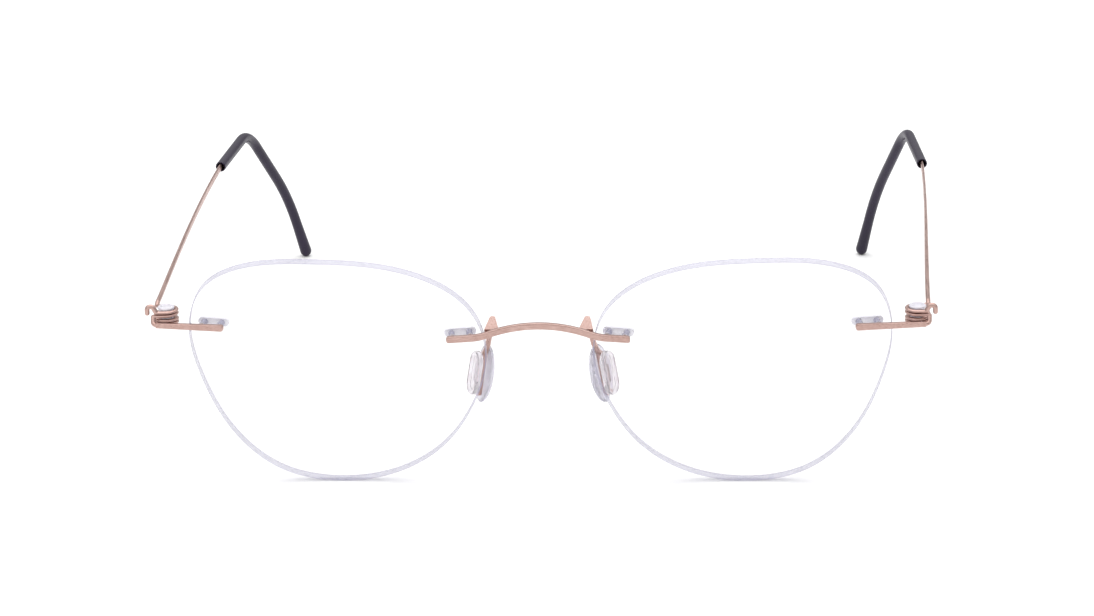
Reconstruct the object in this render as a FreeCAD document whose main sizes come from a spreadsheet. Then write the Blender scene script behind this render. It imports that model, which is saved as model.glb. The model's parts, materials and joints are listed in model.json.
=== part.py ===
import FreeCAD
import Part
import math
import os
import Sketcher

# Rimless eyeglasses, standing open on the lens bottoms and the ear tips.
# Millimetres.  +X is the viewer's right, +Y runs back along the temples, +Z is up,
# and the glasses are symmetric about X = 0.  Sub-parts are drawn on the +X side and
# mirrored for the -X side.

os.makedirs("parts", exist_ok=True)
doc = FreeCAD.newDocument("rimless_eyeglasses")
Vec = FreeCAD.Vector

DIMENSIONS = {
    # lenses
    "lens_width": 50.0, "lens_height": 41.3, "bridge_gap": 18.0, "lens_thick": 1.8,
    "lens_curve": 120.0, "lens_bevel": 0.16, "lens_tilt": 7.0, "lens_centre_z": 20.3,
    "drill_bore": 1.04, "drill_spacing": 3.0, "nasal_hole_u": -21.05, "nasal_hole_w": 6.9,
    "temporal_hole_u": 21.2, "temporal_hole_w": 8.85,
    # clear mounting plugs and their metal pins
    "plug_length": 5.4, "plug_height": 1.4, "plug_plate": 0.8, "bush_radius": 0.5, "pin_radius": 0.3,
    # bridge
    "bar_height": 1.12, "bar_depth": 0.85, "bridge_half": 15.4, "arch_top_z": 28.95,
    "arch_radius": 29.0, "arch_angle": 17.3, "reverse_radius": 9.3, "plan_angle": 10.2,
    "plan_bar_x": 9.5, "bridge_mid_y": 2.0, "edge_round": 0.16, "tip_round": 0.4,
    # nose pads and their arms
    "strap_wide": 0.9, "strap_thick": 0.45, "arm_x": 7.9, "arm_root_y": 1.85, "arm_root_z": 28.2,
    "arm_crest_y": 5.9, "arm_crest_z": 29.1, "arm_elbow_y": 6.2, "arm_elbow_z": 24.3,
    "tab_root_wide": 2.45, "tab_end_wide": 1.0, "tab_long": 4.15, "pad_long": 10.4, "pad_wide": 6.0,
    "pad_thick": 1.55, "pad_centre_x": 10.35, "pad_centre_y": 7.7, "pad_centre_z": 18.4,
    "pad_splay": 28.0, "pad_lean": 11.0, "paddle_long": 8.0, "paddle_wide": 1.3, "paddle_thick": 0.65,
    "retainer_long": 7.7, "retainer_wide": 3.9, "retainer_thick": 0.9,
    "retainer_dish_long": 6.1, "retainer_dish_wide": 2.3, "retainer_gap": 0.5,
    "stub_long": 3.2, "stub_wide": 0.8,
    # lugs and hinges
    "lug_tip_x": 52.9, "lug_tip_y": 0.2, "lug_tip_z": 29.3, "lug_end_x": 64.6, "lug_end_y": 2.45,
    "lug_end_z": 29.02, "lug_end_height": 0.88, "hinge_x": 63.2, "hinge_y": 5.2, "coil_radius": 1.72,
    "post_radius": 0.4, "strip_half_high": 0.27, "strip_half_deep": 0.4, "temple_ring_z": 30.86,
    "first_ring_z": 30.26, "second_ring_z": 29.45, "ring_pitch": 0.56, "post_x": 65.15,
    "post_foot_y": 2.75, "hook_x": 66.15, "hook_top_z": 31.95, "hook_end_z": 30.8,
    "bobbin_core": 1.26, "bobbin_flange": 1.44, "bobbin_bottom_z": 28.1, "flange_thick": 0.32,
    # temples
    "row_origin_y": 60.9, "arm_radius": 0.41, "arm_start_x": 65.0, "arm_start_z": 31.25,
    "wire_flat": 0.6, "wire_deep": 1.3, "sleeve_start_y": 89.0, "sleeve_outer": 0.97,
    "sleeve_tip": 1.12, "sleeve_bore": 0.74, "bend_radius": 8.0, "leg_bow": 35.0,
    "swell_long": 6.5,
}

sheet = doc.addObject("Spreadsheet::Sheet", "dimensions")
for row, (alias, value) in enumerate(DIMENSIONS.items(), start=1):
    sheet.set(f"A{row}", alias)
    sheet.set(f"B{row}", str(value))
    sheet.setAlias(f"B{row}", alias)
doc.recompute()


def dim(alias):
    """Value of one driving dimension."""
    return float(getattr(sheet, alias))


def add(kind, name, placement=None, **bound):
    """Add a document object whose properties are bound to sheet expressions."""
    item = doc.addObject(kind, name)
    if placement is not None:
        item.Placement = placement
    for prop, expression in bound.items():
        item.setExpression(prop, expression)
    return item


def fuse(name, shapes):
    """Join document objects into one."""
    joined = add("Part::MultiFuse", name)
    joined.Shapes = shapes
    return joined


def cut(name, base, tool):
    """Take one document object out of another."""
    result = add("Part::Cut", name)
    result.Base = base
    result.Tool = tool
    return result


def common(name, shapes):
    """Keep what the document objects share."""
    result = add("Part::MultiCommon", name)
    result.Shapes = shapes
    return result


def frame_at(origin, x_axis, z_axis):
    """Placement with its X and Z along two given directions."""
    z_dir = Vec(*z_axis).normalize()
    y_dir = z_dir.cross(Vec(*x_axis)).normalize()
    x_dir = y_dir.cross(z_dir)
    turn = FreeCAD.Rotation(x_dir, y_dir, z_dir, "ZXY")
    return FreeCAD.Placement(Vec(*origin), turn)


def shape_part(name, shape):
    """A plain Part::Feature holding a shape made from the sheet's values."""
    item = doc.addObject("Part::Feature", name)
    item.Shape = shape
    return item


def extrude(name, sketch, direction, length, symmetric=True):
    """Straight extrusion of a sketch, its length bound to the sheet."""
    item = add("Part::Extrusion", name, LengthFwd=length)
    item.Base = sketch
    item.DirMode = "Custom"
    item.Dir = direction
    item.Solid = True
    item.Symmetric = symmetric
    return item


# ---------------------------------------------------------------- lens
# Lens frame: X outwards (u), Y up the tilted lens (w), Z to the front.
tilt = math.radians(dim("lens_tilt"))
lens_centre = Vec(dim("bridge_gap") / 2 + dim("lens_width") / 2, 0, dim("lens_centre_z"))
lens_front = (0, -math.cos(tilt), -math.sin(tilt))
lens_frame = frame_at(lens_centre, (1, 0, 0), lens_front)

# Outline as fractions of half the lens width and height, nose side first.
OUTLINE = [(-1.0, 0.14), (-0.84, 0.645), (-0.40, 0.93), (0.14, 1.0), (0.60, 0.95), (0.90, 0.74),
           (1.0, 0.36), (0.94, -0.03), (0.745, -0.54), (0.42, -0.90), (0.06, -1.0), (-0.36, -0.925),
           (-0.72, -0.64), (-0.93, -0.23)]


def lens_outline():
    """Closed smooth lens outline in the lens frame."""
    sketch = doc.addObject("Sketcher::SketchObject", "lens_outline")
    half_w = dim("lens_width") / 2
    half_h = dim("lens_height") / 2
    points = [Vec(u * half_w, w * half_h, 0) for u, w in OUTLINE]
    curve = Part.BSplineCurve()
    curve.interpolate(points, PeriodicFlag=True)
    sketch.addGeometry(curve, False)
    return sketch


def mount_frame(u, w):
    """Frame on the lens front at (u, w), its Z along the surface normal."""
    curve = dim("lens_curve")
    drop = curve - math.sqrt(curve * curve - u * u - w * w)
    normal = Vec(u, w, curve - drop).normalize()
    local = frame_at((u, w, -drop), (1, 0, 0), normal)
    return lens_frame.multiply(local)


MOUNTS = {"nasal": mount_frame(dim("nasal_hole_u"), dim("nasal_hole_w")),
          "temporal": mount_frame(dim("temporal_hole_u"), dim("temporal_hole_w"))}


def pair_of_cylinders(name, frame, radius, length, start):
    """Two parallel cylinders at the drill spacing, along the mount's normal."""
    pins = []
    for side in (-1, 1):
        offset = Vec(side * dim("drill_spacing") / 2, 0, start)
        place = frame.multiply(FreeCAD.Placement(offset, FreeCAD.Rotation()))
        pin = add("Part::Cylinder", f"{name}_bar", place, Radius=radius, Height=length)
        pins.append(pin)
    return fuse(name, pins)


def safety_bevel(name, base, size):
    """Small flat on the front and back corners of the lens's ground edge."""
    doc.recompute()
    item = doc.addObject("Part::Chamfer", name)
    item.Base = base
    corners = [number for number, edge in enumerate(base.Shape.Edges, start=1)
               if edge.Length > dim("lens_width")]
    item.Edges = [(number, size, size) for number in corners]
    return item


def make_lens():
    """Meniscus blank cut to the outline and drilled for the two mounts."""
    behind = Vec(0, 0, -dim("lens_curve"))
    front_ball = add("Part::Sphere", "front_ball", Radius="dimensions.lens_curve")
    back_ball = add("Part::Sphere", "back_ball",
                    Radius="dimensions.lens_curve - dimensions.lens_thick")
    for ball in (front_ball, back_ball):
        ball.Placement = FreeCAD.Placement(behind, FreeCAD.Rotation(Vec(0, 1, 0), 90))
    blank = extrude("lens_blank", lens_outline(), Vec(0, 0, 1), "dimensions.lens_width")
    outer = common("lens_outer", [blank, front_ball])
    meniscus = cut("meniscus", outer, back_ball)
    meniscus.Placement = lens_frame
    bevelled = safety_bevel("bevelled_lens", meniscus, dim("lens_bevel"))
    drills = [pair_of_cylinders(f"drill_{where}", frame, "dimensions.drill_bore / 2",
                                "dimensions.lens_thick * 4", -2 * dim("lens_thick"))
              for where, frame in MOUNTS.items()]
    return cut("lens", bevelled, fuse("drills", drills))


# ---------------------------------------------------------------- mounting plugs and pins
def stadium(name, long_cell, wide_cell):
    """Sketch of a slot shape centred on its origin, long along X."""
    sketch = doc.addObject("Sketcher::SketchObject", name)
    radius = dim(wide_cell) / 2
    reach = dim(long_cell) / 2 - radius
    axis = Vec(0, 0, 1)
    circles = {side: Part.Circle(Vec(side * reach, 0, 0), axis, radius) for side in (-1, 1)}
    right = sketch.addGeometry(Part.ArcOfCircle(circles[1], -math.pi / 2, math.pi / 2), False)
    top = sketch.addGeometry(Part.LineSegment(Vec(reach, radius, 0), Vec(-reach, radius, 0)), False)
    left = sketch.addGeometry(Part.ArcOfCircle(circles[-1], math.pi / 2, 3 * math.pi / 2), False)
    low = sketch.addGeometry(Part.LineSegment(Vec(-reach, -radius, 0), Vec(reach, -radius, 0)), False)
    for first, first_end, second, second_end in ((right, 2, top, 1), (top, 2, left, 1),
                                                 (left, 2, low, 1), (low, 2, right, 1)):
        sketch.addConstraint(Sketcher.Constraint("Tangent", first, first_end, second, second_end))
    sketch.addConstraint(Sketcher.Constraint("Symmetric", right, 3, left, 3, -1, 1))
    sketch.addConstraint(Sketcher.Constraint("Horizontal", top))
    size = sketch.addConstraint(Sketcher.Constraint("Radius", right, radius))
    sketch.setExpression(f"Constraints[{size}]", f"dimensions.{wide_cell} / 2")
    span = sketch.addConstraint(Sketcher.Constraint("Distance", right, 3, left, 3, 2 * reach))
    sketch.setExpression(f"Constraints[{span}]", f"dimensions.{long_cell} - dimensions.{wide_cell}")
    return sketch


def slot_body(name, long_cell, wide_cell, thick, rim_radius):
    """PartDesign body: a slot-shaped plate with rounded rims, from z = 0 upwards."""
    body = doc.addObject("PartDesign::Body", name)
    sketch = stadium(f"{name}_sketch", long_cell, wide_cell)
    body.addObject(sketch)
    sketch.AttachmentSupport = [(body.Origin.OriginFeatures[3], "")]
    sketch.MapMode = "FlatFace"
    pad = body.newObject("PartDesign::Pad", f"{name}_pad")
    pad.Profile = sketch
    pad.setExpression("Length", thick)
    doc.recompute()
    level = pad.Shape.BoundBox
    rims = [f"Edge{number}" for number, edge in enumerate(pad.Shape.Edges, start=1)
            if abs(edge.BoundBox.ZMax - edge.BoundBox.ZMin) < 0.001
            and abs(edge.BoundBox.ZMax - level.ZMax) < 0.001]
    fillet = body.newObject("PartDesign::Fillet", f"{name}_rim")
    fillet.Base = (pad, rims)
    fillet.setExpression("Radius", rim_radius)
    body.Tip = fillet
    return body


def plug_through():
    """Height of the lens's back surface in a mount frame."""
    return -dim("lens_thick") - 0.02


def make_plug(where):
    """Clear plate behind the lens with two bushes that fill the drilled holes."""
    frame = MOUNTS[where]
    plate = slot_body(f"plug_plate_{where}", "plug_length", "plug_height",
                      "dimensions.plug_plate", "dimensions.plug_plate * 0.35")
    turn = FreeCAD.Rotation(Vec(1, 0, 0), 180)
    plate.Placement = frame.multiply(FreeCAD.Placement(Vec(0, 0, plug_through()), turn))
    bushes = pair_of_cylinders(f"plug_bush_{where}", frame, "dimensions.bush_radius",
                               "dimensions.lens_thick + 0.2", plug_through() - 0.18)
    bores = pair_of_cylinders(f"plug_bore_{where}", frame, "dimensions.pin_radius",
                              "dimensions.lens_thick * 3", -2 * dim("lens_thick"))
    return cut(f"mount_plug_{where}", fuse(f"plug_solid_{where}", [plate, bushes]), bores)


def make_pins(where):
    """The two metal pins that run from the bar through the plug's bushes."""
    return pair_of_cylinders(f"lens_pins_{where}", MOUNTS[where], "dimensions.pin_radius - 0.01",
                             "dimensions.lens_thick + dimensions.plug_plate + 0.55",
                             plug_through() - dim("plug_plate") - 0.15)


# ---------------------------------------------------------------- bridge
def band(centre_line, half):
    """Closed wire of a band that follows tangent arcs and lines at a constant half width."""
    upper = []
    lower = []
    for kind, *data in centre_line:
        if kind == "line":
            start, end = data
            side = Vec(-(end - start).y, (end - start).x, 0).normalize() * half
            upper.append(Part.LineSegment(start + side, end + side))
            lower.append(Part.LineSegment(start - side, end - side))
        else:
            centre, radius, from_angle, to_angle = data
            grow = half if radius > 0 else -half
            for side, group in ((grow, upper), (-grow, lower)):
                size = abs(radius) + side
                first, middle, last = [
                    centre + Vec(math.cos(angle), math.sin(angle), 0) * size
                    for angle in (from_angle, (from_angle + to_angle) / 2, to_angle)]
                group.append(Part.Arc(first, middle, last))
    edges = [curve.toShape() for curve in upper] + [curve.toShape() for curve in lower]
    ends = [upper[0].StartPoint, lower[0].StartPoint, upper[-1].EndPoint, lower[-1].EndPoint]
    edges.append(Part.LineSegment(ends[0], ends[1]).toShape())
    edges.append(Part.LineSegment(ends[2], ends[3]).toShape())
    return Part.Wire(Part.__sortEdges__(edges))


def bridge_front():
    """Front view of the bridge: arch, reverse curves and level end bars (X across, Y up)."""
    arch = dim("arch_radius")
    reverse = dim("reverse_radius")
    angle = math.radians(dim("arch_angle"))
    top = dim("arch_top_z")
    knee_x = (arch + reverse) * math.sin(angle)
    knee_z = top - (arch + reverse) * (1 - math.cos(angle))
    end_x = dim("bridge_half")
    level = math.pi / 2
    return [("line", Vec(-end_x, knee_z, 0), Vec(-knee_x, knee_z, 0)),
            ("arc", Vec(-knee_x, knee_z + reverse, 0), -reverse, -level, angle - level),
            ("arc", Vec(0, top - arch, 0), arch, level + angle, level - angle),
            ("arc", Vec(knee_x, knee_z + reverse, 0), -reverse, -level - angle, -level),
            ("line", Vec(knee_x, knee_z, 0), Vec(end_x, knee_z, 0))]


def bridge_plan():
    """Plan view: a shallow arc between two straight bars that lie on the lens fronts."""
    angle = math.radians(dim("plan_angle"))
    bar_start = dim("plan_bar_x")
    radius = bar_start / math.sin(angle)
    mid = dim("bridge_mid_y")
    join_y = mid - radius * (1 - math.cos(angle))
    run = dim("bridge_half") + 1 - bar_start
    end_y = join_y - run * math.tan(angle)
    end_x = bar_start + run
    level = math.pi / 2
    return [("line", Vec(-end_x, end_y, 0), Vec(-bar_start, join_y, 0)),
            ("arc", Vec(0, mid - radius, 0), radius, level + angle, level - angle),
            ("line", Vec(bar_start, join_y, 0), Vec(end_x, end_y, 0))]


def rounded_bar(name, base, tip_x):
    """Bar with softened edges, and rounder corners across its free tips at X = +-tip_x."""
    doc.recompute()
    item = doc.addObject("Part::Fillet", name)
    item.Base = base
    radii = []
    for number, edge in enumerate(base.Shape.Edges, start=1):
        middle = edge.valueAt((edge.FirstParameter + edge.LastParameter) / 2)
        across_depth = abs(edge.Length - dim("bar_depth")) < 0.05
        at_tip = abs(abs(middle.x) - tip_x) < 0.3
        radius = dim("tip_round") if across_depth and at_tip else dim("edge_round")
        radii.append((number, radius, radius))
    item.Edges = radii
    return item


def make_bridge():
    """Bar that is arched in the front view and bowed in plan, tips rounded."""
    front = Part.Face(band(bridge_front(), dim("bar_height") / 2))
    front.rotate(Vec(0, 0, 0), Vec(1, 0, 0), 90)
    front_item = shape_part("bridge_front_view", front)
    plan = Part.Face(band(bridge_plan(), dim("bar_depth") / 2))
    plan_item = shape_part("bridge_plan_view", plan)
    front_solid = extrude("bridge_front_solid", front_item, Vec(0, 1, 0), "20 mm")
    plan_solid = extrude("bridge_plan_solid", plan_item, Vec(0, 0, 1), "100 mm")
    bar = common("bridge_bar", [front_solid, plan_solid])
    return rounded_bar("bridge", bar, dim("bridge_half"))


# ---------------------------------------------------------------- wires and straps
def rounded_path(points, radii):
    """Polyline of 3-D points with a tangent arc at each inner corner."""
    edges = []
    start = points[0]
    for before, corner, after, radius in zip(points, points[1:], points[2:], radii):
        arrive = (corner - before).normalize()
        leave = (after - corner).normalize()
        half_turn = arrive.getAngle(leave) / 2
        if radius <= 0 or half_turn < 0.001:
            edges.append(Part.LineSegment(start, corner).toShape())
            start = corner
            continue
        setback = radius * math.tan(half_turn)
        first = corner - arrive * setback
        last = corner + leave * setback
        inward = (leave - arrive).normalize()
        middle = corner + inward * (radius / math.cos(half_turn) - radius)
        if start.distanceToPoint(first) > 0.001:
            edges.append(Part.LineSegment(start, first).toShape())
        edges.append(Part.Arc(first, middle, last).toShape())
        start = last
    edges.append(Part.LineSegment(start, points[-1]).toShape())
    return edges


def half_turns(centre, radius, levels, start_angle, step):
    """Coil of half-turn arcs: each arc joins two levels and is tangent to the next."""
    edges = []
    angle = start_angle
    for low, high in zip(levels, levels[1:]):
        first = centre + Vec(math.cos(angle) * radius, math.sin(angle) * radius, low)
        last = centre + Vec(-math.cos(angle) * radius, -math.sin(angle) * radius, high)
        side = angle + step * math.pi / 2
        reach = (last - first).Length / 2
        middle = (first + last) / 2 + Vec(math.cos(side), math.sin(side), 0) * reach
        edges.append(Part.Arc(first, middle, last).toShape())
        angle += math.pi
    return edges


def tube(edges, radius):
    """Round bar swept along tangent edges."""
    path = Part.Wire(edges)
    start = path.OrderedEdges[0]
    origin = start.valueAt(start.FirstParameter)
    heading = start.tangentAt(start.FirstParameter)
    ring = Part.Wire(Part.makeCircle(radius, origin, heading))
    return path.makePipeShell([ring], True, False)


def strap(edges, wide, thick, across):
    """Flat bar swept along tangent edges, its width kept along one direction."""
    path = Part.Wire(edges)
    start = path.OrderedEdges[0]
    origin = start.valueAt(start.FirstParameter)
    heading = start.tangentAt(start.FirstParameter)
    side = (across - heading * across.dot(heading)).normalize()
    face = heading.cross(side)
    corners = [origin + side * (wide / 2 * s) + face * (thick / 2 * t)
               for s, t in ((-1, -1), (1, -1), (1, 1), (-1, 1), (-1, -1))]
    shell = Part.BRepOffsetAPI.MakePipeShell(path)
    shell.setBiNormalMode(across)
    shell.add(Part.makePolygon(corners))
    shell.build()
    shell.makeSolid()
    return shell.shape()


def level_strip(edges, half_deep, half_high):
    """Flattened wire swept along nearly level edges, its flat faces up and down."""
    path = Part.Wire(edges)
    start = path.OrderedEdges[0]
    origin = start.valueAt(start.FirstParameter)
    heading = start.tangentAt(start.FirstParameter)
    across = heading.cross(Vec(0, 0, 1)).normalize()
    ellipse = Part.Ellipse(origin + across * half_deep, origin + Vec(0, 0, half_high), origin)
    shell = Part.BRepOffsetAPI.MakePipeShell(path)
    shell.setBiNormalMode(Vec(0, 0, 1))
    shell.add(Part.Wire(ellipse.toShape()))
    shell.build()
    shell.makeSolid()
    return shell.shape()


# ---------------------------------------------------------------- nose pads
pad_turn = FreeCAD.Rotation(Vec(0, 1, 0), dim("pad_lean"))
splay_turn = FreeCAD.Rotation(Vec(0, 0, 1), -dim("pad_splay"))
# Pad frame: X up the pad, Z from the nose side out towards the lens.
pad_origin = Vec(dim("pad_centre_x"), dim("pad_centre_y"), dim("pad_centre_z"))
upright = frame_at((0, 0, 0), (0, 0, 1), (1, 0, 0)).Rotation
pad_frame = FreeCAD.Placement(pad_origin, splay_turn.multiply(pad_turn.inverted()).multiply(upright))


def make_pad():
    """Soft pad on the nose side: a domed oval, thinner at its rim."""
    dome = add("Part::Ellipsoid", "pad_dome", Radius1="dimensions.pad_thick",
               Radius2="dimensions.pad_long / 2", Radius3="dimensions.pad_wide / 2")
    keep = add("Part::Box", "pad_half", Length="dimensions.pad_long * 2",
               Width="dimensions.pad_long * 2", Height="dimensions.pad_thick * 2")
    keep.Placement.Base = Vec(-dim("pad_long"), -dim("pad_long"), -2 * dim("pad_thick"))
    half = common("nose_pad", [dome, keep])
    seat = FreeCAD.Placement(Vec(0, 0, -dim("paddle_thick") / 2), FreeCAD.Rotation())
    half.Placement = pad_frame.multiply(seat)
    return half


def make_retainer():
    """Oval retainer on the lens side of the paddle, dished in the middle."""
    plate = slot_body("retainer_plate", "retainer_long", "retainer_wide",
                      "dimensions.retainer_thick", "0.35 mm")
    dish = slot_body("retainer_dish", "retainer_dish_long", "retainer_dish_wide",
                     "dimensions.retainer_thick", "0.15 mm")
    dish.Placement.Base = Vec(0, 0, dim("retainer_thick") * 0.45)
    stub = slot_body("retainer_stub", "stub_long", "stub_wide",
                     "dimensions.retainer_gap + 0.2", "0.05 mm")
    stub.Placement.Base = Vec(0, 0, -dim("retainer_gap"))
    oval = cut("pad_retainer", fuse("retainer_solid", [plate, stub]), dish)
    stand_off = dim("paddle_thick") / 2 + dim("retainer_gap")
    oval.Placement = pad_frame.multiply(
        FreeCAD.Placement(Vec(0, 0, stand_off), FreeCAD.Rotation()))
    return oval


def make_pad_arm():
    """Tapered tab behind the bridge, a strap that loops down, and the pad's paddle."""
    arm_x = dim("arm_x")
    root = Vec(arm_x, dim("arm_root_y"), dim("arm_root_z"))
    crest = Vec(arm_x + 0.1, dim("arm_crest_y"), dim("arm_crest_z"))
    elbow = Vec(arm_x + 1.0, dim("arm_elbow_y"), dim("arm_elbow_z"))
    paddle_top = pad_frame.multVec(Vec(dim("paddle_long") / 2 - 0.8, 0, 0))
    edges = rounded_path([root, crest, elbow, paddle_top], [0.9, 3.0])
    loop = strap(edges, dim("strap_wide"), dim("strap_thick"), Vec(1, 0, 0))
    wide = dim("tab_root_wide") / 2
    slim = dim("tab_end_wide") / 2
    long = dim("tab_long")
    along = (crest - root).normalize()
    lift = along.cross(Vec(1, 0, 0)).normalize() * -1
    left, left_top, top, right_top, right = [
        root + Vec(across, 0, 0) + along * back - lift * (dim("strap_thick") / 2)
        for across, back in ((-wide, 0), (-slim, long - slim), (0, long), (slim, long - slim), (wide, 0))]
    outline = [Part.LineSegment(left, left_top), Part.Arc(left_top, top, right_top),
               Part.LineSegment(right_top, right), Part.LineSegment(right, left)]
    profile = Part.Wire([piece.toShape() for piece in outline])
    tab = Part.Face(profile).extrude(lift * dim("strap_thick"))
    paddle = slot_body("paddle", "paddle_long", "paddle_wide", "dimensions.paddle_thick", "0.1 mm")
    paddle.Placement = pad_frame.multiply(
        FreeCAD.Placement(Vec(0, 0, -dim("paddle_thick") / 2), FreeCAD.Rotation()))
    return fuse("pad_arm", [shape_part("arm_strap", loop), shape_part("arm_tab", tab), paddle])


# ---------------------------------------------------------------- lug and hinge coil
hinge_base = Vec(dim("hinge_x"), dim("hinge_y"), 0)


def make_lug():
    """Bar on the lens front that bends up into a post and winds the hinge coil."""
    tip = Vec(dim("lug_tip_x"), dim("lug_tip_y"), dim("lug_tip_z"))
    end = Vec(dim("lug_end_x"), dim("lug_end_y"), dim("lug_end_z"))
    along = (end - tip).normalize()
    side = Vec(0, 0, 1).cross(along).normalize()
    sections = []
    for centre, tall in ((tip, dim("bar_height")), (end, dim("lug_end_height"))):
        corners = [centre + side * (dim("bar_depth") / 2 * s) + Vec(0, 0, tall / 2 * t)
                   for s, t in ((-1, -1), (1, -1), (1, 1), (-1, 1), (-1, -1))]
        sections.append(Part.makePolygon(corners))
    bar = shape_part("lug_blank", Part.makeLoft(sections, True, True))
    radius = dim("coil_radius")
    front_y = dim("hinge_y") - radius
    ring_z = dim("first_ring_z")
    thick = dim("post_radius")
    post_top = Vec(dim("post_x"), front_y, ring_z - thick + dim("strip_half_high"))
    foot = Vec(dim("post_x"), dim("post_foot_y"), dim("lug_end_z"))
    post = tube(rounded_path([end - along * 1.2, foot, post_top], [0.6]), thick)
    cap = Part.makeSphere(thick, post_top)
    ring_start = Vec(dim("hinge_x"), front_y, ring_z)
    edges = [Part.LineSegment(Vec(dim("post_x"), front_y, ring_z), ring_start).toShape()]
    low = dim("second_ring_z")
    half_pitch = dim("ring_pitch") / 2
    levels = [ring_z, ring_z, low, low - half_pitch, low - 2 * half_pitch, low - 3 * half_pitch]
    edges += half_turns(hinge_base, radius, levels, -math.pi / 2, -1)
    coil = level_strip(edges, dim("strip_half_deep"), dim("strip_half_high"))
    return fuse("lug", [rounded_bar("lug_bar", bar, dim("lug_tip_x")), shape_part("lug_post", post),
                        shape_part("lug_post_cap", cap), shape_part("lug_coil", coil)])


def make_bobbin():
    """Clear spool inside the coil, with a dished cap above the rings."""
    body = doc.addObject("PartDesign::Body", "hinge_bobbin")
    sketch = body.newObject("Sketcher::SketchObject", "bobbin_profile")
    sketch.AttachmentSupport = [(body.Origin.OriginFeatures[4], "")]
    sketch.MapMode = "FlatFace"
    core = dim("bobbin_core")
    flange = dim("bobbin_flange")
    low = dim("bobbin_bottom_z")
    top = dim("temple_ring_z") + dim("strip_half_high") + 0.06
    thick = dim("flange_thick")
    profile = [(0, low), (core, low), (core, top), (flange, top), (flange, top + thick * 0.55),
               (flange - 0.25, top + thick), (core - 0.25, top + thick), (core - 0.55, top + 0.05),
               (0, top + 0.05)]
    points = [Vec(radius, level, 0) for radius, level in profile]
    for start, end in zip(points, points[1:] + points[:1]):
        sketch.addGeometry(Part.LineSegment(start, end), False)
    for number in range(len(points)):
        following = (number + 1) % len(points)
        sketch.addConstraint(Sketcher.Constraint("Coincident", number, 2, following, 1))
    spin = body.newObject("PartDesign::Revolution", "bobbin_spin")
    spin.Profile = sketch
    spin.ReferenceAxis = (sketch, ["V_Axis"])
    spin.Angle = 360
    body.Tip = spin
    body.Placement.Base = hinge_base
    return body


# ---------------------------------------------------------------- temples
sleeve_start = Vec(65.6, dim("sleeve_start_y"), 29.0)
sleeve_corner = Vec(63.0, 108.0, 29.8)
sleeve_knee = Vec(57.3, 118.6, 13.5)
sleeve_end = Vec(54.6, 121.6, dim("sleeve_tip"))
ARM_STATIONS = [Vec(65.3, 36.0, 31.15), Vec(65.65, 62.0, 30.3)]


def ear_path(start, end):
    """Centre line of the ear bend: straight, tangent arc, then a slightly bowed leg."""
    return rounded_path([start, sleeve_corner, sleeve_knee, end], [dim("bend_radius"), dim("leg_bow")])


def ellipse_wire(centre, heading, half_wide, half_deep):
    """Upright ellipse across the wire's heading."""
    frame = frame_at(centre, (1, 0, 0), heading)
    curve = Part.Circle(Vec(0, 0, 0), Vec(0, 0, 1), half_wide).toShape()
    if abs(half_wide - half_deep) > 0.001:
        ellipse = Part.Ellipse(Vec(0, half_deep, 0), Vec(half_wide, 0, 0), Vec(0, 0, 0))
        curve = ellipse.toShape()
    wire = Part.Wire(curve)
    wire.Placement = frame
    return wire


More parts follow.
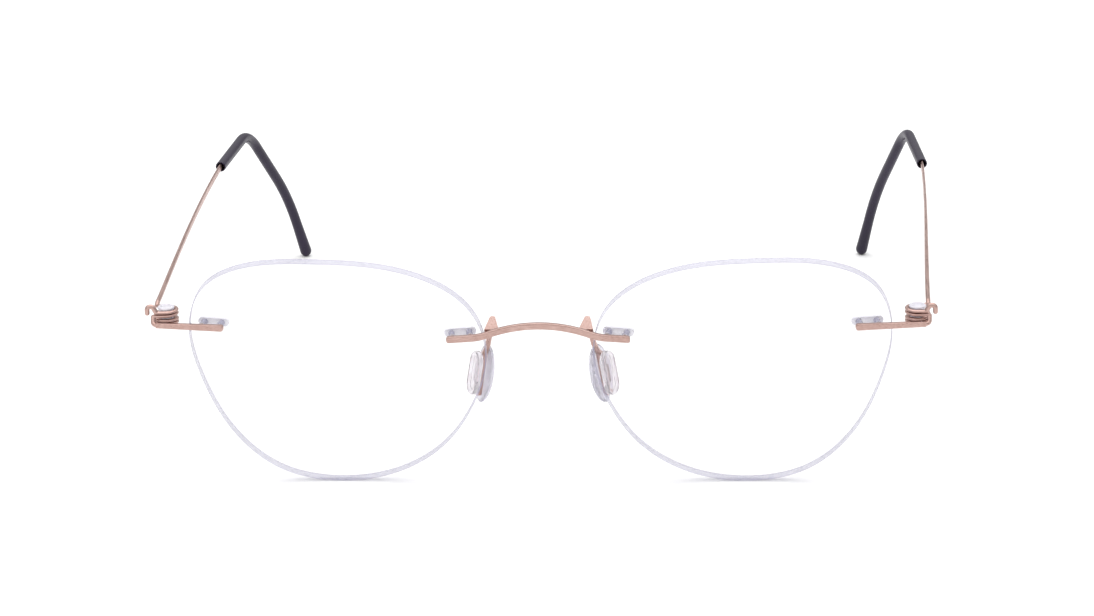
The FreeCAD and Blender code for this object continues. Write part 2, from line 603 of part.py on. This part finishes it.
def make_temple_wire():
    """One wire: stop hook, top hinge ring, bend, long arm that flattens, and ear core."""
    radius = dim("coil_radius")
    wire = dim("arm_radius")
    ring_z = dim("temple_ring_z")
    front_y = dim("hinge_y") - radius
    back_y = dim("hinge_y") + radius
    hinge_x = dim("hinge_x")
    hook_x = dim("hook_x")
    top_z = dim("hook_top_z")
    low_z = ring_z + wire - dim("strip_half_high")
    hook_end = Vec(hook_x, front_y, dim("hook_end_z"))
    hook_start = Vec(hinge_x + 1.5, front_y, low_z)
    hook_path = [hook_end, Vec(hook_x, front_y, top_z), Vec(hook_x - 1.0, front_y, top_z), hook_start]
    hook = tube(rounded_path(hook_path, [0.55, 0.5]), wire)
    arm_x = dim("arm_start_x")
    to_ring = Part.LineSegment(Vec(hinge_x + 1.7, front_y, ring_z), Vec(hinge_x, front_y, ring_z))
    to_arm = Part.LineSegment(Vec(hinge_x, back_y, ring_z), Vec(arm_x, back_y, ring_z))
    ring = half_turns(hinge_base, radius, [ring_z, ring_z], -math.pi / 2, -1)
    strip = level_strip([to_ring.toShape()] + ring + [to_arm.toShape()],
                        dim("strip_half_deep"), dim("strip_half_high"))
    first = Vec(arm_x, dim("hinge_y") + 6.0, dim("arm_start_z"))
    heel = Vec(arm_x, back_y, low_z)
    rise = Vec(arm_x, back_y + 0.9, dim("arm_start_z"))
    lead = tube(rounded_path([heel, rise, first], [0.8]), wire)
    ends = [Part.makeSphere(wire, spot) for spot in (hook_start, heel, hook_end)]
    heading = Vec(0, 1, 0)
    sections = [ellipse_wire(first, heading, wire, wire)]
    flat = dim("wire_flat") / 2
    deep = dim("wire_deep") / 2
    for station in ARM_STATIONS:
        grow = (station.y - first.y) / (ARM_STATIONS[-1].y - first.y)
        half_wide = wire + (flat - wire) * grow
        half_deep = wire + (deep - wire) * grow
        sections.append(ellipse_wire(station, heading, half_wide, half_deep))
    to_bend = (sleeve_corner - sleeve_start).normalize()
    sections.append(ellipse_wire(sleeve_start, to_bend, flat, deep))
    arm = Part.makeLoft(sections, True, False)
    core_end = sleeve_end + (sleeve_knee - sleeve_end).normalize() * 4
    core_path = Part.Wire(ear_path(sleeve_start, core_end))
    down = (sleeve_end - sleeve_corner).normalize()
    across = to_bend.cross(down).normalize()
    shell = Part.BRepOffsetAPI.MakePipeShell(core_path)
    shell.setBiNormalMode(across)
    shell.add(ellipse_wire(sleeve_start, to_bend, flat, deep))
    shell.build()
    shell.makeSolid()
    shapes = [hook, strip, lead, arm, shell.shape()] + ends
    pieces = [shape_part("temple_piece", shape) for shape in shapes]
    return fuse("temple_wire", pieces)


def make_sleeve():
    """Black ear sleeve: a tube over the wire with an open front and a round closed tip."""
    edges = ear_path(sleeve_start, sleeve_end)
    outer = tube(edges, dim("sleeve_outer"))
    down = (sleeve_end - sleeve_knee).normalize()
    length = dim("swell_long")
    swell = Part.makeCone(dim("sleeve_outer"), dim("sleeve_tip"), length, sleeve_end - down * length, down)
    tip = Part.makeSphere(dim("sleeve_tip"), sleeve_end)
    bore_end = sleeve_end - down * 3.5
    bore = tube(ear_path(sleeve_start, bore_end), dim("sleeve_bore"))
    solid = fuse("sleeve_solid", [shape_part("sleeve_tube", outer), shape_part("sleeve_swell", swell),
                                  shape_part("sleeve_end", tip)])
    return cut("ear_sleeve", solid, shape_part("sleeve_bore_solid", bore))


# ---------------------------------------------------------------- assembly
def mirrored(item, name):
    """The same sub-part on the -X side."""
    twin = doc.addObject("Part::Mirroring", name)
    twin.Source = item
    twin.Normal = Vec(1, 0, 0)
    twin.Base = Vec(0, 0, 0)
    return twin


PAIRED = {
    "lens": make_lens,
    "mount_plug_nasal": lambda: make_plug("nasal"),
    "mount_plug_temporal": lambda: make_plug("temporal"),
    "lens_pins_nasal": lambda: make_pins("nasal"),
    "lens_pins_temporal": lambda: make_pins("temporal"),
    "pad_arm": make_pad_arm,
    "nose_pad": make_pad,
    "pad_retainer": make_retainer,
    "lug": make_lug,
    "hinge_bobbin": make_bobbin,
    "temple_wire": make_temple_wire,
    "ear_sleeve": make_sleeve,
}

nodes = {"bridge": make_bridge()}
for label, make in PAIRED.items():
    right = make()
    nodes[f"{label}_right"] = right
    nodes[f"{label}_left"] = mirrored(right, f"{label}_left")

# The row's origin is below the middle of the glasses, so every sub-part moves forwards by it.
for label, item in nodes.items():
    item.Label = label
    if item.TypeId != "Part::Mirroring":
        item.Placement.Base += Vec(0, -dim("row_origin_y"), 0)
doc.recompute()

faults = [item.Label for item in doc.Objects if "Invalid" in item.State or "Error" in item.State]
for label, item in nodes.items():
    if item.Shape.isNull() or not item.Shape.isValid() or not item.Shape.Solids:
        faults.append(label)
if faults:
    raise SystemExit(f"bad sub-parts: {faults}")
for label, item in nodes.items():
    item.Shape.exportStep(f"parts/{label}.step")
    print(label, len(item.Shape.Solids), round(item.Shape.Volume, 2))
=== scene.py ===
import json
import math

import bpy
from mathutils import Matrix, Vector

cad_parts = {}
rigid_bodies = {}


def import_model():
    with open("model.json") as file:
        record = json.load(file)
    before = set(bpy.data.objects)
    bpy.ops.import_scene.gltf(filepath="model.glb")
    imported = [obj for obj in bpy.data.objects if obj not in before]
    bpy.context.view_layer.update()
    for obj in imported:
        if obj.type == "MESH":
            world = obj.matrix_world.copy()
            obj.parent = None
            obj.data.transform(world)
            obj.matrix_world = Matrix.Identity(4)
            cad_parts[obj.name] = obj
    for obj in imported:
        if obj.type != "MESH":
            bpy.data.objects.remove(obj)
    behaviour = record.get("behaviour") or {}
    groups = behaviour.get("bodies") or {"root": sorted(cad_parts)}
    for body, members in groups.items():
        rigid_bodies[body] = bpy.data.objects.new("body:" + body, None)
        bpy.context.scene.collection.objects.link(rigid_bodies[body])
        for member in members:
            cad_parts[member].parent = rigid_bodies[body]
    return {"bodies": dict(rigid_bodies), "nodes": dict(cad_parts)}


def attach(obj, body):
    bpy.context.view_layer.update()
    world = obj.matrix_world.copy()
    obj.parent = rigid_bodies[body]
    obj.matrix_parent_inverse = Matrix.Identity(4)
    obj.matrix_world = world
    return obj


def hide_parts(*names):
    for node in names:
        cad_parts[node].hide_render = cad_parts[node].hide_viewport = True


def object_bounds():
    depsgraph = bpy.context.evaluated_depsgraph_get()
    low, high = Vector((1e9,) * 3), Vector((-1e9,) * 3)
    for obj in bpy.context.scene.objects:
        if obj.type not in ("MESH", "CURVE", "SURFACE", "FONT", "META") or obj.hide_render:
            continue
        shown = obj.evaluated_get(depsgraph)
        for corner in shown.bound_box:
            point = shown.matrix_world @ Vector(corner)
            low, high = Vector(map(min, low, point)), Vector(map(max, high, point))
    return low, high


# Rimless eyeglasses standing open on a plain pale floor.
# Metres.  +X is the viewer's right, +Y runs back along the temples, +Z is up.
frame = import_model()
size_at_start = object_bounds()
nodes = frame["nodes"]
MM = 0.001
SIDES = ("right", "left")


# ---------------------------------------------------------------- node helpers
def new_material(name):
    """Empty node material with a Principled shader, ready for its own look."""
    material = bpy.data.materials.new(name)
    material.use_nodes = True
    shader = material.node_tree.nodes["Principled BSDF"]
    return material, material.node_tree, shader


def add(tree, kind, **settings):
    """One shader node with its settings."""
    node = tree.nodes.new(kind)
    for key, value in settings.items():
        setattr(node, key, value)
    return node


def noise(tree, stretch, detail=4.0, roughness=0.55):
    """Noise in the row frame; stretch is features per metre along X, Y and Z."""
    place = add(tree, "ShaderNodeTexCoord")
    mapping = add(tree, "ShaderNodeMapping")
    mapping.inputs["Scale"].default_value = stretch
    texture = add(tree, "ShaderNodeTexNoise")
    texture.inputs["Scale"].default_value = 1.0
    texture.inputs["Detail"].default_value = detail
    texture.inputs["Roughness"].default_value = roughness
    tree.links.new(place.outputs["Object"], mapping.inputs["Vector"])
    tree.links.new(mapping.outputs["Vector"], texture.inputs["Vector"])
    return texture.outputs["Fac"]


def spread(tree, value, low, high, start=0.3, end=0.7):
    """Stretch a 0-1 pattern to a range of numbers."""
    node = add(tree, "ShaderNodeMapRange")
    for socket, number in (("From Min", start), ("From Max", end), ("To Min", low), ("To Max", high)):
        node.inputs[socket].default_value = number
    tree.links.new(value, node.inputs["Value"])
    return node.outputs["Result"]


def blend(tree, value, first, second):
    """Mix two colours by a 0-1 pattern; a colour may itself be a socket."""
    node = add(tree, "ShaderNodeMix", data_type="RGBA")
    tree.links.new(value, node.inputs["Factor"])
    for socket, colour in ((node.inputs["A"], first), (node.inputs["B"], second)):
        if isinstance(colour, tuple):
            socket.default_value = (*colour, 1.0)
        else:
            tree.links.new(colour, socket)
    return node.outputs["Result"]


def choose(tree, value, first, second):
    """Mix two number patterns by a 0-1 pattern."""
    node = add(tree, "ShaderNodeMix", data_type="FLOAT")
    for socket, source in (("Factor", value), ("A", first), ("B", second)):
        tree.links.new(source, node.inputs[socket])
    return node.outputs["Result"]


def bump(tree, shader, value, strength, depth):
    """Surface relief from a pattern; depth is in metres."""
    node = add(tree, "ShaderNodeBump")
    node.inputs["Strength"].default_value = strength
    node.inputs["Distance"].default_value = depth
    tree.links.new(value, node.inputs["Height"])
    tree.links.new(node.outputs["Normal"], shader.inputs["Normal"])


# ---------------------------------------------------------------- materials
def brushed_metal(name, grain):
    """Satin rose-brown titanium; grain is the axis along which it is brushed."""
    material, tree, shader = new_material(name)
    across = [9000.0, 9000.0, 9000.0]
    across["XYZ".index(grain)] = 260.0
    streaks = noise(tree, across, detail=5.0)
    patches = noise(tree, (240.0, 240.0, 240.0), detail=3.0)
    base = blend(tree, spread(tree, patches, 0.0, 1.0), (0.56, 0.375, 0.335), (0.68, 0.485, 0.44))
    dark = blend(tree, spread(tree, streaks, 0.0, 1.0), (0.40, 0.255, 0.22), base)
    tree.links.new(dark, shader.inputs["Base Color"])
    tree.links.new(spread(tree, streaks, 0.22, 0.40), shader.inputs["Roughness"])
    shader.inputs["Metallic"].default_value = 1.0
    bump(tree, shader, streaks, 0.25, 0.02 * MM)
    return material


def clear_resin(name, tint, shade, clearness, roughness, grain_size):
    """Clear moulded plastic or silicone with faint clouding and a soft skin."""
    material, tree, shader = new_material(name)
    clouds = noise(tree, (grain_size,) * 3, detail=4.0)
    tree.links.new(blend(tree, spread(tree, clouds, 0.0, 1.0), shade, tint), shader.inputs["Base Color"])
    fine = noise(tree, (5200.0, 5200.0, 5200.0), detail=2.0)
    tree.links.new(spread(tree, fine, roughness * 0.75, roughness * 1.25), shader.inputs["Roughness"])
    shader.inputs["Transmission Weight"].default_value = clearness
    shader.inputs["IOR"].default_value = 1.42
    bump(tree, shader, fine, 0.12, 0.02 * MM)
    return material


def lens_glass(name, axis):
    """Clear lens: nearly invisible polished faces that turn whiter towards grazing angles as a painted
    reflection, and a lavender-grey edge all round whose colour is painted shade and painted internal
    reflection of the ground edge.
    """
    material, tree, shader = new_material(name)
    place = add(tree, "ShaderNodeTexCoord")
    facing = add(tree, "ShaderNodeVectorMath", operation="DOT_PRODUCT")
    facing.inputs[1].default_value = axis
    tree.links.new(place.outputs["Normal"], facing.inputs[0])
    size = add(tree, "ShaderNodeMath", operation="ABSOLUTE")
    tree.links.new(facing.outputs["Value"], size.inputs[0])
    polished = spread(tree, size.outputs["Value"], 0.0, 1.0, 0.80, 0.93)
    grinding = noise(tree, (400.0, 900.0, 400.0), detail=4.0)
    # painted shade and painted internal reflection: edge faces, picked by their normal against the lens
    # axis, get a darker lavender-grey
    painted_edge_shade = blend(tree, spread(tree, grinding, 0.0, 1.0), (0.40, 0.38, 0.51), (0.45, 0.435, 0.565))
    film = noise(tree, (60.0, 60.0, 60.0), detail=3.0)
    face = blend(tree, spread(tree, film, 0.0, 1.0), (0.93, 0.93, 0.97), (0.97, 0.97, 1.0))
    tree.links.new(blend(tree, polished, painted_edge_shade, face), shader.inputs["Base Color"])
    ground = spread(tree, grinding, 0.22, 0.38)
    tree.links.new(choose(tree, polished, ground, spread(tree, film, 0.01, 0.04)),
                   shader.inputs["Roughness"])
    # painted reflection: the near-white face colour grows more opaque towards grazing angles, so the
    # faces whiten as a reflection would make them
    edge_on = add(tree, "ShaderNodeLayerWeight")
    edge_on.inputs["Blend"].default_value = 0.25
    clear = spread(tree, edge_on.outputs["Fresnel"], 0.03, 0.45, 0.05, 1.0)
    tree.links.new(choose(tree, polished, spread(tree, grinding, 0.58, 0.62), clear),
                   shader.inputs["Alpha"])
    shader.inputs["IOR"].default_value = 1.5
    return material


def sleeve_rubber(name):
    """Satin charcoal silicone: fine moulded grain, faint dust and slow colour drift."""
    material, tree, shader = new_material(name)
    drift = noise(tree, (150.0, 150.0, 150.0), detail=4.0)
    grain = noise(tree, (7500.0, 7500.0, 7500.0), detail=3.0)
    body = blend(tree, spread(tree, drift, 0.0, 1.0), (0.005, 0.002, 0.014), (0.013, 0.006, 0.028))
    tree.links.new(blend(tree, spread(tree, grain, 0.0, 0.35), body, (0.034, 0.025, 0.052)),
                   shader.inputs["Base Color"])
    tree.links.new(spread(tree, grain, 0.26, 0.40), shader.inputs["Roughness"])
    shader.inputs["Sheen Weight"].default_value = 0.03
    shader.inputs["Specular IOR Level"].default_value = 0.35
    bump(tree, shader, grain, 0.18, 0.02 * MM)
    return material


def pale_floor(name):
    """Plain white studio floor with a barely uneven matt surface."""
    material, tree, shader = new_material(name)
    mottle = noise(tree, (9.0, 9.0, 9.0), detail=3.0)
    tree.links.new(blend(tree, mottle, (0.93, 0.93, 0.93), (0.95, 0.95, 0.95)),
                   shader.inputs["Base Color"])
    shader.inputs["Roughness"].default_value = 0.9
    shader.inputs["Specular IOR Level"].default_value = 0.1
    return material


LENS_TILT = math.radians(7.0)
lens_axis = (0.0, math.cos(LENS_TILT), math.sin(LENS_TILT))
metal_across = brushed_metal("metal_brushed_across", "X")
metal_back = brushed_metal("metal_brushed_back", "Y")
metal_down = brushed_metal("metal_brushed_down", "Z")
glass = lens_glass("lens_glass", lens_axis)
plastic = clear_resin("plastic_clear", (0.97, 0.96, 1.0), (0.91, 0.89, 0.98), 0.35, 0.10, 500.0)
silicone = clear_resin("silicone_clear", (0.95, 0.94, 1.0), (0.87, 0.855, 0.95), 0.65, 0.20, 380.0)
plug = clear_resin("plug_clear", (0.98, 0.975, 1.0), (0.90, 0.885, 0.97), 0.15, 0.12, 500.0)
# the pinkish-brown second clouding colour of the retainer is a painted reflection of the metal glint
# seen in it
retainer = clear_resin("retainer_clear_painted_glint", (0.97, 0.96, 1.0), (0.78, 0.71, 0.75), 0.84, 0.06, 700.0)
rubber = sleeve_rubber("sleeve_charcoal")

FINISHES = {
    "bridge": metal_across, "lens": glass, "mount_plug_nasal": plug, "mount_plug_temporal": plug,
    "lens_pins_nasal": metal_back, "lens_pins_temporal": metal_back, "pad_arm": metal_down,
    "nose_pad": silicone, "pad_retainer": retainer, "lug": metal_across, "hinge_bobbin": plastic,
    "temple_wire": metal_back, "ear_sleeve": rubber,
}


def finish_of(node_name):
    """Material for a CAD node, the same on both sides."""
    for side in SIDES:
        node_name = node_name.removesuffix(f"_{side}")
    return FINISHES[node_name]


for node_name, item in nodes.items():
    for place in range(len(item.data.materials)):
        item.data.materials[place] = finish_of(node_name)


# ---------------------------------------------------------------- soft pieces
def softened(node_name, voxel, passes):
    """Copy of a CAD solid with its corners melted, as a moulded soft piece has them."""
    source = nodes[node_name]
    piece = bpy.data.objects.new(f"soft_{node_name}", source.data.copy())
    bpy.context.scene.collection.objects.link(piece)
    remesh = piece.modifiers.new("even_skin", "REMESH")
    remesh.mode = "VOXEL"
    remesh.voxel_size = voxel
    smooth = piece.modifiers.new("soft_corners", "SMOOTH")
    smooth.factor = 0.5
    smooth.iterations = passes
    bpy.context.view_layer.update()
    shaped = piece.evaluated_get(bpy.context.evaluated_depsgraph_get())
    mesh = bpy.data.meshes.new_from_object(shaped)
    piece.modifiers.clear()
    piece.data = mesh
    mesh.materials.clear()
    mesh.materials.append(finish_of(node_name))
    for polygon in mesh.polygons:
        polygon.use_smooth = True
    return piece


SOFT_PARTS = {
    "nose_pad": (0.16 * MM, 9, "front", "clear_silicone"),
    "pad_retainer": (0.08 * MM, 2, "front", "clear_silicone"),
    "ear_sleeve": (0.11 * MM, 6, "temple", "black_silicone"),
}
for side in SIDES:
    for part, (voxel, passes, body, finish) in SOFT_PARTS.items():
        piece = softened(f"{part}_{side}", voxel, passes)
        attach(piece, body if body in frame["bodies"] else f"{body}_{side}")
        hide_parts(f"{part}_{side}")


# ---------------------------------------------------------------- floor, light and camera
FLOOR_WIDTH = 4.0
floor_height = size_at_start[0][2]
bpy.ops.mesh.primitive_plane_add(size=FLOOR_WIDTH, location=(0.0, 0.6, floor_height))
floor = bpy.context.object
floor.name = "floor"
floor.data.materials.append(pale_floor("floor_white"))

world = bpy.data.worlds.new("studio")
bpy.context.scene.world = world
world.use_nodes = True
backdrop = world.node_tree.nodes["Background"]
backdrop.inputs["Color"].default_value = (1.0, 1.0, 1.0, 1.0)
sky = add(world.node_tree, "ShaderNodeTexCoord")
height = add(world.node_tree, "ShaderNodeSeparateXYZ")
world.node_tree.links.new(sky.outputs["Generated"], height.inputs["Vector"])
glow = spread(world.node_tree, height.outputs["Z"], 0.32, 1.25, 0.0, 0.75)
world.node_tree.links.new(glow, backdrop.inputs["Strength"])


def soft_box(name, position, aim, width, power):
    """Add a large square area light aimed at a point."""
    lamp = bpy.data.lights.new(name, "AREA")
    lamp.size = width
    lamp.energy = power
    holder = bpy.data.objects.new(name, lamp)
    bpy.context.scene.collection.objects.link(holder)
    holder.location = position
    holder.rotation_euler = (Vector(aim) - Vector(position)).to_track_quat("-Z", "Y").to_euler()


LIGHT_AIM = (0.0, 0.0, 0.02)
soft_box("overhead_box", (0.0, 0.15, 0.85), LIGHT_AIM, 0.9, 2.6)
soft_box("front_left_box", (-0.7, -0.8, 0.6), LIGHT_AIM, 0.5, 0.8)

CAMERA_DISTANCE = 0.7
CAMERA_ELEVATION = math.radians(19.8)
CAMERA_AZIMUTH = math.radians(4.2)
CAMERA_ROLL = math.radians(-1.55)
SENSOR_WIDTH = 36.0
FOCAL_LENGTH = 138.4
look_at = Vector((1.65 * MM, -60.9 * MM, 32.85 * MM))

back = Vector((math.sin(CAMERA_AZIMUTH) * math.cos(CAMERA_ELEVATION),
               -math.cos(CAMERA_AZIMUTH) * math.cos(CAMERA_ELEVATION),
               math.sin(CAMERA_ELEVATION)))
level = Vector((math.cos(CAMERA_AZIMUTH), math.sin(CAMERA_AZIMUTH), 0.0))
rise = back.cross(level)
right = level * math.cos(CAMERA_ROLL) + rise * math.sin(CAMERA_ROLL)
up = rise * math.cos(CAMERA_ROLL) - level * math.sin(CAMERA_ROLL)

lens_data = bpy.data.cameras.new("camera")
lens_data.sensor_fit = "HORIZONTAL"
lens_data.sensor_width = SENSOR_WIDTH
lens_data.lens = FOCAL_LENGTH
lens_data.clip_start = 0.01
camera = bpy.data.objects.new("camera", lens_data)
bpy.context.scene.collection.objects.link(camera)
camera.matrix_world = Matrix.Translation(look_at + back * CAMERA_DISTANCE) @ Matrix(
    (right, up, back)).transposed().to_4x4()
bpy.context.scene.camera = camera
bpy.context.scene.view_settings.view_transform = "Standard"
